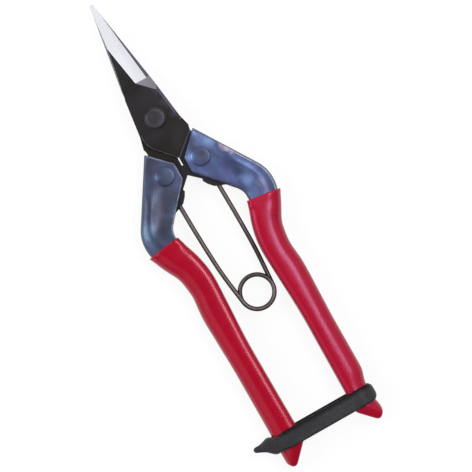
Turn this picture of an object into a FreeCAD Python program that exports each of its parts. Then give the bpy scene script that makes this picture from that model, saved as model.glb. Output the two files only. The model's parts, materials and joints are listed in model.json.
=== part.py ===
"""Pruning shears for fruit and buds: crossed blades on a rivet, sheet-metal handles, wire spring, strap.

The shears lie flat with the blades closed. X runs across them, with the right handle on +X, Y runs to
the blade tips, and Z is up. Every piece is first drawn about the pivot, with the face where the two
blades slide on each other at Z = 0, and the finished set is then moved so that the origin is the middle
of the underside. The left half is the right half turned over about the Y axis: only the strap's groove
is on one side.
"""
import FreeCAD, Part
import math
import os

# Blades
blade_reach = 49.5            # pivot to tip
blade_thickness = 2.8
tip_radius = 0.78
edge_half = 8.6               # half width where the cutting side starts to flare to the shoulder
edge_flare_y = -3.4
bend_half = 6.65              # the cutting side bends inwards here
bend_y = 11.65
shoulder_half = 9.8
shoulder_y = -8.15
spine_mid = 3.34              # the spine is slightly hollow on both sides of this place
spine_mid_y = 27.0
spine_low = 6.8
spine_low_y = 9.7
heel_half = 8.38              # corner of the rounded heel, behind the pivot
heel_y = -7.65
heel_radius = 9.0
crotch_y = -16.8              # where the two heels cross on the centre line
edge_chamfer = 1.15

# Ground bevel of the cutting edge
bevel_end_y = 15.2            # near end of the polished bevel
bevel_land = 1.37             # width of the steeper strip along the edge, at the near end
bevel_close_y = 46.0          # where that strip has run out
land_slope = 0.55             # its rise for each millimetre from the edge
runout_y = 10.2               # the grinding wheel's run-out ends here
runout_drop = 0.6

# Pivot
pivot_radius = 2.5
pivot_head_radius = 4.3
pivot_head_height = 1.1
pivot_head_bevel = 1.0
washer_radius = 4.0
washer_thickness = 0.6
peen_radius = 3.3
peen_height = 0.9
running_fit = 0.05

# Tangs, in the handles
tang_thickness = 3.0
step_corner = (8.93, -10.5)   # ends of the edge where the blade steps down to its tang
step_foot = (1.0, -17.5)
step_chamfer = 0.6
heel_clearance = 0.4
slot_half = 0.44              # see-through slot above the closing stop
stop_top_y = -20.5
stop_low_y = -24.6
lobe_reach = 2.0              # the spring lobe stands this far out of the handle
tang_end_y = -35.2
fold_fit = 0.5                # between the tang's edge and the flat inside of the fold

# Handle pressings
sheet = 1.2
fold_height = 8.4
fold_flat = 0.2               # half height of the flat left in the middle of the round fold
splay = 32.3                  # angle of the upper handle from the centre line
plate_corner = (10.5, -9.8)
plate_shoulder = (9.5, -10.9)
plate_side = 2.05             # distance of the plates' inner edge from the centre line
plate_top_y = -18.4
plate_low_y = -24.9
handle_half = 27.75           # widest place of the handles
widest_top_y = -37.0
widest_low_y = -45.3
widest_radius = 14.0
throat_half = 15.6            # inner edge there
throat_top_y = -40.1
throat_low_y = -44.9
throat_top_radius = 11.0
throat_low_radius = 4.0
waist_inner = (11.1, -59.0, 40)        # corners of the inner side, each with the radius of its bend
palm_inner = (12.6, -91.0, 200)
end_inner = 11.9
waist_top = (21.1, -57.4, 12)          # corners of the outer side
waist_low = (19.98, -65.6, 10)
palm_top = (20.95, -74.5, 40)
palm_low = (20.2, -98.0, 120)
crease_inset = 5.2            # the flat zone over the tang ends this far from the outer edge
crease_width = 1.5
crease_half = 21.1            # and this far from the centre line, lower down
fold_start = 11.5             # the fold swells from here along the outer edge
fold_ramp = 7.0
belly_y = -35.5               # the flat zone ends here and swells over the next few millimetres
belly_ramp = 6.5
tang_rivet_place = (7.76, -20.9)
tang_rivet_radius = 2.0
tang_rivet_head = 4.07
tang_rivet_height = 0.45
tang_rivet_bevel = 0.7
knee_radius = 3.0             # of the pressing's outer side, under the grip

# Grips
grip_skin = 1.0
grip_fit = 0.05
grip_inner_edge = 1.8
rim_inner_y = -44.3
rim_outer_y = -46.0
tail_y = -134.0               # the grips thin down from here to their ends
tail_end_y = -141.0
tail_drop = 2.4
tail_slant = 1.06             # rise of their slanting end for each millimetre inwards
tail_tip = (2.4, 1.2)         # their tip: distance from the outer side, and radius
tail_corner = (2.6, 2.6)      # the corner beside it: distance above the tip, and radius
tail_wall = 4.0               # vinyl beyond the end of the pressing

# Spring
wire_diameter = 1.75
coil_radius = 6.55
coil_place = (1.07, -76.0)
coil_pitch = 1.92
leave_left = 8.0              # slant of each leg where it leaves the coil, in degrees
leave_right = 4.0
coil_sides = 12
wire_sides = 8                # the round wire is drawn with this many flats
left_leg_bends = [(-8.1, -47.0), (-7.3, -63.5)]
right_leg_bends = [(8.74, -49.0), (8.66, -61.5)]
left_leg_top = (-8.4, -33.4)
right_leg_top = (8.4, -34.0)
leg_seat = 3.0                # depth of the holes that take the wire's ends
seat_fit = 0.1

# Strap
strap_thickness = 1.5
strap_width = 6.9
strap_top_y = -126.5
strap_gap = 0.3
strap_corner = 5.0            # of the loop, seen along the handles
strap_end_corner = 2.4        # of its right end, seen from above
groove_half = 18.55           # outer edge of the right pressing, where the strap lies round its grip
groove_above = 1.1            # the groove's straight bottom starts this far above the strap
groove_below = 6.0            # and ends this far below the strap's upper edge
groove_lip = 0.6              # the grip stands out again this far below it
groove_ramp = 4.4
groove_shoulder = 4.0         # radius of the bend above the ramp
groove_radius = 5.0
tab_length = 6.6
tab_flare = 0.9               # its upper side starts this far above the strap
tab_thickness = 2.4
bead_radius = 1.3

# Worked out from them
tang_half = tang_thickness / 2
plate_half = tang_half + sheet
fold_half = fold_height / 2
fold_radius = fold_half - fold_flat
skin_out = grip_skin + grip_fit
past_end_y = tail_end_y - 20
wire_radius = wire_diameter / 2
V = FreeCAD.Vector
UP = V(0, 0, 1)
CENTRE = V(0, 0, 0)
down_handle = (math.sin(math.radians(splay)), -math.cos(math.radians(splay)))
out_of_handle = (-down_handle[1], down_handle[0])


# ---------------------------------------------------------------- drawing helpers
def rounded_edges(points, radii, closed):
    """Straight runs through the points, with a tangent arc of the given radius at each.

    An arc takes up no more than half of the runs beside it, so its radius is less where they are short.
    """
    count = len(points)
    corners = []
    for i, here in enumerate(points):
        if radii[i] == 0 or (not closed and i in (0, count - 1)):
            corners.append((here, None, here))
            continue
        back = points[i - 1] - here
        ahead = points[(i + 1) % count] - here
        room = min(back.Length, ahead.Length) / 2
        half = back.getAngle(ahead) / 2
        reach = min(radii[i] / math.tan(half), room)
        radius = reach * math.tan(half)
        back.normalize()
        ahead.normalize()
        crown = (back + ahead).normalize() * (radius / math.sin(half) - radius)
        corners.append((here + back * reach, here + crown, here + ahead * reach))
    edges = []
    for i, (start, crown, end) in enumerate(corners):
        if crown is not None:
            edges.append(Part.Arc(start, crown, end).toShape())
        if closed or i < count - 1:
            following = corners[(i + 1) % count][0]
            if (following - end).Length > 1e-4:
                edges.append(Part.makeLine(end, following))
    return edges


def prism(outline, low, high):
    """The closed outline of (x, y, radius) corners, drawn up from one height to another."""
    points = [V(x, y, low) for x, y, _ in outline]
    radii = [r for _, _, r in outline]
    face = Part.Face(Part.Wire(rounded_edges(points, radii, True)))
    return face.extrude(UP * (high - low))


def meet(p, run, q, other):
    """Where the line through p and the line through q cross, in plan."""
    cross = run[0] * other[1] - run[1] * other[0]
    t = ((q[0] - p[0]) * other[1] - (q[1] - p[1]) * other[0]) / cross
    return (p[0] + t * run[0], p[1] + t * run[1])


def offset(outline, moves):
    """The counter-clockwise outline with each side moved outwards: one distance, or one for each side."""
    count = len(outline)
    if not isinstance(moves, list):
        moves = [moves] * count
    sides = []
    for i in range(count):
        (x0, y0, _), (x1, y1, _) = outline[i], outline[(i + 1) % count]
        length = math.hypot(x1 - x0, y1 - y0)
        run = ((x1 - x0) / length, (y1 - y0) / length)
        sides.append(((x0 + run[1] * moves[i], y0 - run[0] * moves[i]), run))
    moved = []
    for i in range(count):
        (p, before), (q, after) = sides[i - 1], sides[i]
        convex = before[0] * after[1] - before[1] * after[0] > 0
        radius = outline[i][2]
        if radius:
            radius = max(radius + (moves[i] if convex else -moves[i]), 0)
        moved.append((*meet(p, before, q, after), radius))
    return moved


def above(point, normal):
    """A block that fills the side of a plane to which its normal points."""
    size = 600
    block = Part.makeBox(size, size, size, V(-size / 2, -size / 2, 0))
    block.Placement = FreeCAD.Placement(V(*point), FreeCAD.Rotation(UP, V(*normal)))
    return block


def post(radius, low, high, place=(0, 0)):
    return Part.makeCylinder(radius, high - low, V(place[0], place[1], low))


def turned_over(shape):
    """The same piece on the other side: turned half round the Y axis."""
    return shape.rotated(CENTRE, V(0, 1, 0), 180)


def both_faces(shape):
    """The shape and its mirror image in the mid plane."""
    return shape.fuse(shape.mirror(CENTRE, UP))


def edges_near(shape, places):
    """The edge of the shape whose middle is nearest to each place."""
    return [min(shape.Edges, key=lambda e: (e.CenterOfMass - V(*place)).Length) for place in places]


def middle(a, b, z):
    return ((a[0] + b[0]) / 2, (a[1] + b[1]) / 2, z)


# ---------------------------------------------------------------- blades
def blade_outline():
    """Blade with its heel, counter-clockwise from the tip: down the spine, round the heel, up the edge."""
    return [
        (-tip_radius, blade_reach, tip_radius),
        (-spine_mid, spine_mid_y, 350),
        (-spine_low, spine_low_y, 40),
        (-heel_half, heel_y, heel_radius),
        (slot_half, crotch_y + slot_half * (crotch_y - heel_y) / heel_half, 0),
        (*step_foot, 0),
        (*step_corner, 0),
        (step_corner[0], step_corner[1] + 1.0, 0.3),
        (shoulder_half, shoulder_y, 0.4),
        (edge_half, edge_flare_y, 0),
        (bend_half, bend_y, 0),
        (tip_radius, blade_reach, tip_radius),
    ]


def bevel_planes():
    """Point and upward normal of the polished bevel, of the strip along the edge and of the run-out."""
    slant = (bend_half - tip_radius) / (blade_reach - tip_radius - bend_y)

    def edge_x(y):
        return bend_half - slant * (y - bend_y)

    near = V(edge_x(bevel_end_y) - bevel_land, bevel_end_y, land_slope * bevel_land)
    start = V(0, bevel_end_y, blade_thickness)
    close = V(edge_x(bevel_close_y), bevel_close_y, 0)
    end = V(edge_x(runout_y) - edge_chamfer / 2, runout_y, blade_thickness - runout_drop)
    bevel = (near - start).cross(close - start)
    runout = (near - start).cross(end - start)
    land = V(land_slope, land_slope * slant, 1)
    return (start, bevel), (V(edge_x(0), 0, 0), land), (start, runout * -1)


def ground(blade):
    """Cuts the polished bevel and the strip along the edge, up to their run-out."""
    bevel, land, runout = bevel_planes()
    beyond = above(*runout)
    return blade.cut(above(*bevel).common(beyond)).cut(above(*land).common(beyond))


def edge_bevelled(blade):
    """Takes the corner off the cutting side's outer face, from the flare upwards."""
    lean = (edge_half - bend_half) / (bend_y - edge_flare_y)
    corner = above((bend_half - edge_chamfer, bend_y, blade_thickness), (1, lean, 1))
    return blade.cut(corner.common(above((0, edge_flare_y, 0), (0, 1, 0.5))))


def beside_plate(far, out):
    """A place measured along the plates' lower inner edge, and outwards from it."""
    length = math.hypot(throat_half - plate_side, throat_top_y - plate_low_y)
    run = ((throat_half - plate_side) / length, (throat_top_y - plate_low_y) / length)
    return (plate_side + far * run[0] + out * run[1], plate_low_y + far * run[1] - out * run[0])


def tang_outline():
    """The part of the blade that lies in the right handle, with its closing stop and spring lobe."""
    inset = sheet + fold_fit
    line = from_corner(out_of_handle, -inset)
    top = meet(line, down_handle, (0, plate_corner[1] - 0.2), (1, 0))
    end = meet(line, down_handle, (0, tang_end_y), (1, 0))
    return [
        (*top, 0),
        (heel_half - 3.4, heel_y - 1.8, 0),
        (slot_half, crotch_y + 1.8, 0),
        (slot_half, stop_top_y, 0),
        (0, stop_top_y, 0),
        (0, stop_low_y, 0),
        (*beside_plate(4.1, 0.4 * lobe_reach), 0.3),
        (*beside_plate(4.6, 0.8 * lobe_reach), 0.5),
        (*beside_plate(6.7, lobe_reach), 1.0),
        (*beside_plate(9.3, lobe_reach), 1.0),
        (*beside_plate(11.4, 0.5 * lobe_reach), 1.0),
        (*beside_plate(14.3, -0.5), 1.0),
        (*end, 3.0),
    ]


def leg_seat_hole(end, below):
    """The hole in a tang's lobe that takes the end of one of the spring's legs."""
    run = (end - below).normalize()
    return Part.makeCylinder(wire_radius + seat_fit, 3 * leg_seat, end - run * 3 * leg_seat, run)


def right_leg_seat():
    return leg_seat_hole(right_leg()[-1], right_leg()[-2])


def left_leg_seat():
    return leg_seat_hole(left_leg()[0], left_leg()[1])


def front_blade():
    high = blade_thickness
    blade = prism(blade_outline(), 0, high)
    blade = blade.makeChamfer(step_chamfer, edges_near(blade, [middle(step_foot, step_corner, high)]))
    blade = ground(edge_bevelled(blade))
    tang = prism(tang_outline(), -tang_half, tang_half)
    other_heel = offset([(-x, y, r) for x, y, r in reversed(blade_outline())], heel_clearance)
    tang = tang.cut(prism(other_heel, -blade_thickness, 0))
    blade = blade.fuse(tang)
    blade = blade.cut(post(pivot_radius + running_fit, -tang_half, blade_thickness))
    blade = blade.cut(post(tang_rivet_radius + running_fit, -tang_half, tang_half, tang_rivet_place))
    return blade.removeSplitter()


# ---------------------------------------------------------------- handles
def inner_side():
    """Inner side of a handle below its plates, downwards."""
    return [
        (throat_half, throat_top_y, throat_top_radius),
        (throat_half, throat_low_y, throat_low_radius),
        waist_inner,
        palm_inner,
        (end_inner, past_end_y, 0),
    ]


def widest_part():
    return [(handle_half, widest_low_y, widest_radius), (handle_half, widest_top_y, widest_radius)]


def groove_corners(side):
    """The strap's groove, upwards from its lower end, in an outer side at this distance from the centre."""
    return [
        (groove_half, strap_top_y - groove_below, groove_radius),
        (groove_half, strap_top_y + groove_above, groove_radius),
        (side, strap_top_y + groove_above + groove_ramp, groove_shoulder),
    ]


def pressing_side(grooved):
    """Outer side of a pressing, upwards: under the grip, straight up to a knee but for the groove."""
    side = waist_low[0]
    inwards = (waist_top[0] - handle_half, waist_top[1] - widest_low_y)
    knee = (*meet((handle_half, widest_low_y), inwards, (side, 0), (0, 1)), knee_radius)
    if grooved:
        return [(groove_half, past_end_y, 0)] + groove_corners(side)[1:] + [knee] + widest_part()
    return [(side, past_end_y, 0), knee] + widest_part()


def grip_side(grooved):
    """Outer side that a grip follows, upwards, with the swell for the palm and the waist above it."""
    end = [(palm_low[0], past_end_y, 0)]
    if grooved:
        lip = meet((groove_half, strap_top_y - groove_below), (groove_lip, -3.0), (0, past_end_y), (1, 0))
        end = [(*lip, 0)] + groove_corners(palm_low[0])
    return end + [palm_low, palm_top, waist_low, waist_top] + widest_part()


def pressing_outline(grooved):
    """The whole pressing in plan, counter-clockwise from the corner beside the blade's shoulder."""
    plates = [
        (*plate_corner, 0),
        (*plate_shoulder, 0),
        (plate_side, plate_top_y, 0.3),
        (plate_side, plate_low_y, 1.0),
    ]
    return plates + inner_side() + pressing_side(grooved)


def tail_outline(grooved):
    """Everything above the rounded, slanting tail of a grip."""
    side = skin_out + (groove_half + groove_lip if grooved else palm_low[0])
    tip_x = side - tail_tip[0]
    return [
        (-10, 30, 0),
        (-10, tail_end_y + tail_slant * (tip_x + 10), 0),
        (tip_x, tail_end_y, tail_tip[1]),
        (side + 0.1, tail_end_y + tail_corner[0], tail_corner[1]),
        (side + 0.4, tail_y + 8, 0),
        (2 * handle_half, tail_y + 20, 0),
        (2 * handle_half, 30, 0),
    ]


def pressing_end(grooved, fit):
    """Everything above the end of a pressing, which stops short of the grip's tail."""
    inwards = fit - tail_wall
    outline = offset(tail_outline(grooved), [0, inwards, inwards, 0, 0, 0, 0])
    return prism(outline, -fold_height, fold_height)


def from_corner(run, far):
    """A place this far from the plates' outer corner."""
    return (plate_corner[0] + far * run[0], plate_corner[1] + far * run[1])


def flat_zone(inwards):
    """What is pressed down, on the front, to leave the flat zone over the tang below the full height."""
    floor = plate_half
    rise = fold_half - floor
    planes = [
        (from_corner(out_of_handle, -crease_inset), out_of_handle, crease_width),
        ((crease_half, 0), (1, 0), crease_width),
        ((0, belly_y), (0, -1), belly_ramp),
    ]
    start = from_corner(down_handle, fold_start)

    def sloping(place, run, width):
        normal = V(-run[0] * rise / width, -run[1] * rise / width, 1).normalize()
        point = V(place[0], place[1], floor) - normal * inwards
        return above(point, normal)

    level = above((0, 0, floor - inwards), (0, 0, 1))
    flat = level
    for plane in planes:
        flat = flat.common(sloping(*plane))
    return flat.fuse(level.common(sloping(start, down_handle, fold_ramp)))


def folded(outline, half_height):
    """The outline drawn to both sides of the mid plane, and the two long edges of its fold."""
    solid = prism(outline, -half_height, half_height)
    places = [middle(outline[0], outline[-1], z) for z in (half_height, -half_height)]
    return solid, edges_near(solid, places)


def flats_round(radius):
    """Size of the bevel whose face touches a rounded edge of this radius."""
    return radius * (2 - math.sqrt(2))


def channel(grooved):
    """Bent sheet round the tang: rounded outside, bevelled inside, open along the inner side."""
    outline = pressing_outline(grooved)
    solid, fold = folded(outline, fold_half)
    solid = solid.makeFillet(fold_radius, fold)
    solid = solid.cut(both_faces(flat_zone(0)))
    walls = len(pressing_side(grooved)) + 1
    moves = [1.0] * (len(outline) - walls) + [-sheet] * walls
    inside, fold = folded(offset(outline, moves), fold_half - sheet)
    inside = inside.makeChamfer(flats_round(fold_radius - sheet), fold)
    inside = inside.cut(both_faces(flat_zone(sheet)))
    solid = solid.cut(inside).common(pressing_end(grooved, 0))
    return solid.cut(post(tang_rivet_radius + running_fit, -plate_half, plate_half, tang_rivet_place))


# ---------------------------------------------------------------- spring
def coil_points():
    """Corners of the many-sided ring that the coil's arcs touch, winding down from the left leg."""
    first = 180 + leave_left
    turn = (540 - leave_left - leave_right) / coil_sides
    reach = coil_radius / math.cos(math.radians(turn / 2))
    fall = coil_pitch * turn / 360
    points = []
    for k in range(coil_sides):
        angle = math.radians(first + turn * (k + 0.5))
        x = coil_place[0] + reach * math.cos(angle)
        y = coil_place[1] + reach * math.sin(angle)
        points.append(V(x, y, fall * ((coil_sides - 1) / 2 - k)))
    return points


def left_leg():
    """Corners of the left leg, from its end in the left tang down to the coil."""
    end = (left_leg_top[0], left_leg_top[1] + leg_seat)
    return leg([end] + left_leg_bends, coil_points()[0])


def right_leg():
    """Corners of the right leg, from the coil up to its end in the right tang."""
    end = (right_leg_top[0], right_leg_top[1] + leg_seat)
    return leg([end] + right_leg_bends, coil_points()[-1])[::-1]


def leg(corners, coil_corner):
    """The corners with heights that fall evenly from the coil's to none at the leg's end."""
    end = corners[0]
    reach = math.hypot(end[0] - coil_corner.x, end[1] - coil_corner.y)
    return [V(x, y, coil_corner.z * math.hypot(x - end[0], y - end[1]) / reach) for x, y in corners]


def spring():
    """One round wire: left leg, one and a half turns of coil, right leg."""
    points = left_leg() + coil_points() + right_leg()
    radii = [0] * len(points)
    for i in range(1, len(points) - 1):
        back, ahead = points[i - 1] - points[i], points[i + 1] - points[i]
        in_coil = 3 <= i < len(points) - 3
        reach = (coil_run() if in_coil else 0.9 * min(back.Length, ahead.Length)) / 2
        radii[i] = reach * math.tan(back.getAngle(ahead) / 2)
    edges = rounded_edges(points, radii, False)
    return Part.Wire(edges).makePipeShell([wire_section(points[0], points[1])], True, True)


def wire_section(end, following):
    """The wire's outline at its end, square to its run."""
    turn = FreeCAD.Rotation(UP, following - end)
    corners = []
    for k in range(wire_sides):
        angle = 2 * math.pi * (k + 0.5) / wire_sides
        corners.append(end + turn.multVec(V(math.cos(angle), math.sin(angle), 0) * wire_radius))
    return Part.makePolygon(corners + corners[:1])


def coil_run():
    """Length of one side of the ring that the coil's arcs touch."""
    return (coil_points()[1] - coil_points()[0]).Length


# ---------------------------------------------------------------- grips
def grip_form(grooved, side, out):
    """Handle form below the rim, moved outwards, with its outer pair and its inner pair of long edges."""
    top = [(handle_half, rim_inner_y + 6, 0), (throat_half, rim_inner_y + 6, 0)]
    outline = offset(top + inner_side()[1:] + side[:-1], out)
    half = fold_half + out
    solid = prism(outline, -half, half)
    outer = edges_near(solid, [middle(outline[-1], outline[0], z) for z in (-half, half)])
    inner = edges_near(solid, [middle(outline[1], outline[2], z) for z in (-half, half)])
    return solid, outer, inner


def grip(grooved):
    """Dipped sleeve over the handle: round outer side, tight inner edges, slanting blunt tail."""
    sleeve, outer, inner = grip_form(grooved, grip_side(grooved), skin_out)
    inner_places = [edge.CenterOfMass for edge in inner]
    sleeve = sleeve.makeFillet(fold_radius + skin_out, outer)
    sleeve = sleeve.makeFillet(grip_inner_edge, edges_near(sleeve, inner_places))
    sleeve = sleeve.common(prism(tail_outline(grooved), -fold_height, fold_height))
    across_rim = V(handle_half - throat_half, rim_outer_y - rim_inner_y, 0)
    sleeve = sleeve.cut(above((throat_half, rim_inner_y, 0), UP.cross(across_rim)))
    sleeve = sleeve.common(thinned_tail())
    cavity, outer, inner = grip_form(grooved, pressing_side(grooved), grip_fit)
    cavity = cavity.makeChamfer(flats_round(fold_radius + grip_fit), outer)
    return sleeve.cut(cavity.common(pressing_end(grooved, grip_fit)))


def thinned_tail():
    """Side view of a grip, drawn across it: full height down to the tail, which thins to a blunt end."""
    half = fold_half + skin_out
    side = prism([
        (30, 2 * half, 0),
        (tail_y, 2 * half, 0),
        (tail_y, half, 0),
        (tail_end_y, half - tail_drop, 1.5),
        (tail_end_y, tail_drop - half, 1.5),
        (tail_y, -half, 0),
        (tail_y, -2 * half, 0),
        (30, -2 * half, 0),
    ], 0, 60)
    return side.rotated(CENTRE, V(1, 1, 1), 120)


# ---------------------------------------------------------------- rivets and strap
def turned(profile):
    """The closed (radius, height) profile turned round the Z axis."""
    points = [V(r, 0, z) for r, z in profile]
    face = Part.Face(Part.makePolygon(points + points[:1]))
    return face.revolve(CENTRE, UP, 360)


def pivot_rivet():
    """Bevelled head on the front blade, shank through both blades, peened over the washer at the back."""
    top = blade_thickness + pivot_head_height
    low = -blade_thickness - washer_thickness
    return turned([
        (0, low - peen_height),
        (peen_radius - peen_height, low - peen_height),
        (peen_radius, low),
        (pivot_radius, low),
        (pivot_radius, blade_thickness),
        (pivot_head_radius, blade_thickness),
        (pivot_head_radius, top - 0.7 * pivot_head_height),
        (pivot_head_radius - pivot_head_bevel, top),
        (0, top),
    ])


def pivot_washer():
    washer = post(washer_radius, -blade_thickness - washer_thickness, -blade_thickness)
    return washer.cut(post(pivot_radius + running_fit, -2 * blade_thickness, 0))


def tang_rivet():
    """Low, broad heads on both plates of the right handle and the shank between them."""
    high = plate_half + tang_rivet_height
    upper = [
        (tang_rivet_radius, plate_half),
        (tang_rivet_head, plate_half),
        (tang_rivet_head - tang_rivet_bevel, high),
        (0, high),
    ]
    lower = [(r, -z) for r, z in reversed(upper)]
    return turned(lower + upper).translated(V(*tang_rivet_place, 0))


def strap():
    """Rubber loop round both grips, snug in the right grip's groove, with a pull tab at its left end."""
    half = fold_half + skin_out + strap_gap
    left = palm_low[0] + skin_out + strap_gap
    right = groove_half + skin_out + strap_gap
    hole = [(right, half), (-left, half), (-left, -half), (right, -half)]
    hole = [(x, z, strap_corner) for x, z in hole]

    def band(outline):
        drawn = prism(outline, 0, strap_width)
        return drawn.rotated(CENTRE, V(1, 0, 0), 90).translated(V(0, strap_top_y, 0))

    loop = band(offset(hole, strap_thickness)).cut(band(hole))
    end, low = right + strap_thickness, strap_top_y - strap_width
    plan = [
        (end, low, strap_end_corner),
        (end, strap_top_y, strap_end_corner),
        (-2 * end, strap_top_y, 0),
        (-2 * end, low, 0),
    ]
    loop = loop.common(prism(plan, -2 * half, 2 * half))
    return loop.fuse(tab(-left - strap_thickness / 2, strap_top_y))


def tab(x, top):
    """Flat pull tab that narrows to a thick bead."""
    bead = (x - tab_length, top - 0.22 * strap_width)
    flap = prism([
        (x, top, 0),
        (x - 0.1 * tab_length, top + tab_flare, 2),
        (x - 0.5 * tab_length, top - 0.02 * strap_width, 4),
        (bead[0], bead[1] + 0.75 * bead_radius, 0),
        (bead[0], bead[1] - 0.95 * bead_radius, 0),
        (x - 0.48 * tab_length, top - 0.65 * strap_width, 6),
        (x, top - strap_width + 0.2, 0),
    ], -tab_thickness / 2, tab_thickness / 2)
    return flap.fuse(post(bead_radius, -bead_radius, bead_radius, bead))


# ---------------------------------------------------------------- the set
def pieces():
    right_blade = front_blade().cut(right_leg_seat())
    left_blade = turned_over(front_blade()).cut(left_leg_seat())
    return {
        "front_blade": right_blade,
        "rear_blade": left_blade,
        "pivot_rivet": pivot_rivet(),
        "pivot_washer": pivot_washer(),
        "right_handle": channel(True),
        "left_handle": turned_over(channel(False)),
        "right_tang_rivet": tang_rivet(),
        "left_tang_rivet": turned_over(tang_rivet()),
        "right_grip": grip(True),
        "left_grip": turned_over(grip(False)),
        "return_spring": spring(),
        "closing_strap": strap(),
    }


def to_underside(shapes):
    """Move from the pivot to the middle of the underside of the whole set."""
    boxes = [shape.optimalBoundingBox() for shape in shapes.values()]
    left, right = min(b.XMin for b in boxes), max(b.XMax for b in boxes)
    near, far = min(b.YMin for b in boxes), max(b.YMax for b in boxes)
    return V(-(left + right) / 2, -(near + far) / 2, -min(b.ZMin for b in boxes))


def main():
    shapes = pieces()
    move = to_underside(shapes)
    print("pivot at", move)
    os.makedirs("parts", exist_ok=True)
    for name, shape in shapes.items():
        shape.translated(move).exportStep(os.path.join("parts", name + ".step"))
        print(name, len(shape.Solids), round(shape.Volume, 1), shape.isValid())


if __name__ == "__main__":
    main()
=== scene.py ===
"""Finish for a pair of fruit and bud shears: blades, handles, dipped grips, wire spring and rubber strap.

Lengths are in metres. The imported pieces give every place: the pivot is the first joint of the frame, X runs
across the shears, Y runs to the blade tips and Z is up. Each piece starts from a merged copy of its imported
piece, whose edges are then eased; only the spring is drawn afresh.
"""
import json
import math

import bmesh
import bpy
from bpy.props import FloatProperty, FloatVectorProperty, IntProperty, PointerProperty
from mathutils import Matrix, Vector, kdtree
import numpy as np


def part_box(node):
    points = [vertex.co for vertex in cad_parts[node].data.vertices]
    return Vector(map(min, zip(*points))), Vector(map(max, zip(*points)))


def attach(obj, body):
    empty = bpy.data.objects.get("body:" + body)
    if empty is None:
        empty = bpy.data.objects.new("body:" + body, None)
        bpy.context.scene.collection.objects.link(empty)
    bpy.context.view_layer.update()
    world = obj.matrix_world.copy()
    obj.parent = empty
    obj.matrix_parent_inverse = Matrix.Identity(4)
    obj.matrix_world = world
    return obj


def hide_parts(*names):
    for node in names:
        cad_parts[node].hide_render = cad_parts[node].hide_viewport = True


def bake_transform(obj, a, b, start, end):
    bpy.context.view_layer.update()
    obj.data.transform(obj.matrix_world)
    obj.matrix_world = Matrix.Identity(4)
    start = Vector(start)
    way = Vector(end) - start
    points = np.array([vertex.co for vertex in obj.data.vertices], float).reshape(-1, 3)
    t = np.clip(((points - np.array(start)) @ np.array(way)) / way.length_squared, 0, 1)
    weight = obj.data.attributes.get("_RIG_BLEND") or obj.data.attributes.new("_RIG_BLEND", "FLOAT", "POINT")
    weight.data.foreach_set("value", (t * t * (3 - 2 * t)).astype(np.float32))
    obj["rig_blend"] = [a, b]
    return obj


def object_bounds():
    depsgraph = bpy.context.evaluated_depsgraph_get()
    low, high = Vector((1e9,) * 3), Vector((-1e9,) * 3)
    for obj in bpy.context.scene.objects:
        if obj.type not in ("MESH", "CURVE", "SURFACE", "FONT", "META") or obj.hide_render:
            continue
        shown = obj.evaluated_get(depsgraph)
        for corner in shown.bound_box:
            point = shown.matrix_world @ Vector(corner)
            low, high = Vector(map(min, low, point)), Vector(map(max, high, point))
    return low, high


bl_info = {
    "name": "Bud shears",
    "version": (1, 0, 0),
    "blender": (4, 5, 0),
    "location": "View3D > Sidebar > Shears",
    "description": "Builds and finishes a pair of fruit and bud shears on its packed frame",
    "category": "Object",
}

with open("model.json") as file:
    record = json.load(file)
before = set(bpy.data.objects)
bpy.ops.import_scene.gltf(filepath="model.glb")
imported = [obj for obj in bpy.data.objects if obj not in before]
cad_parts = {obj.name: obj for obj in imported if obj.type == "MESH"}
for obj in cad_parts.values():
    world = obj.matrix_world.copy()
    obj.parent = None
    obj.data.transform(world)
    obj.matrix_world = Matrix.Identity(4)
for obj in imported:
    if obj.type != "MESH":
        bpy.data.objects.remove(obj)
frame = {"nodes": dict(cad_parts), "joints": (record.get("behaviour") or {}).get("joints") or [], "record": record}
cad_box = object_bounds()
pivot = Vector(frame["joints"][0]["pos_m"])
MM = 0.001
HAIR = 0.001 * MM             # lengths below this count as none


def linear(level):
    """A level of a screen's colour, 0 to 255, as the linear one that shaders take."""
    level /= 255
    return level / 12.92 if level <= 0.04045 else ((level + 0.055) / 1.055) ** 2.4


def tint(name, of, default):
    return FloatVectorProperty(name=name, description="Colour of the " + of, subtype="COLOR", size=4,
                               min=0, max=1, default=default)


def colour(name, of, *levels):
    """A setting for a colour, given as it shows on a screen."""
    return tint(name, of, [linear(level) for level in levels] + [1.0])


def length(name, description, default):
    return FloatProperty(name=name, description=description, unit="LENGTH", subtype="DISTANCE", precision=5,
                         default=default)


def angle(name, description, degrees):
    return FloatProperty(name=name, description=description, subtype="ANGLE", default=math.radians(degrees))


def share(name, description, default):
    return FloatProperty(name=name, description=description, default=default)


def power(name, description, default):
    return FloatProperty(name=name, description=description, unit="POWER", default=default)


def count(name, description, default, least=0):
    return IntProperty(name=name, description=description, min=least, default=default)


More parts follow.
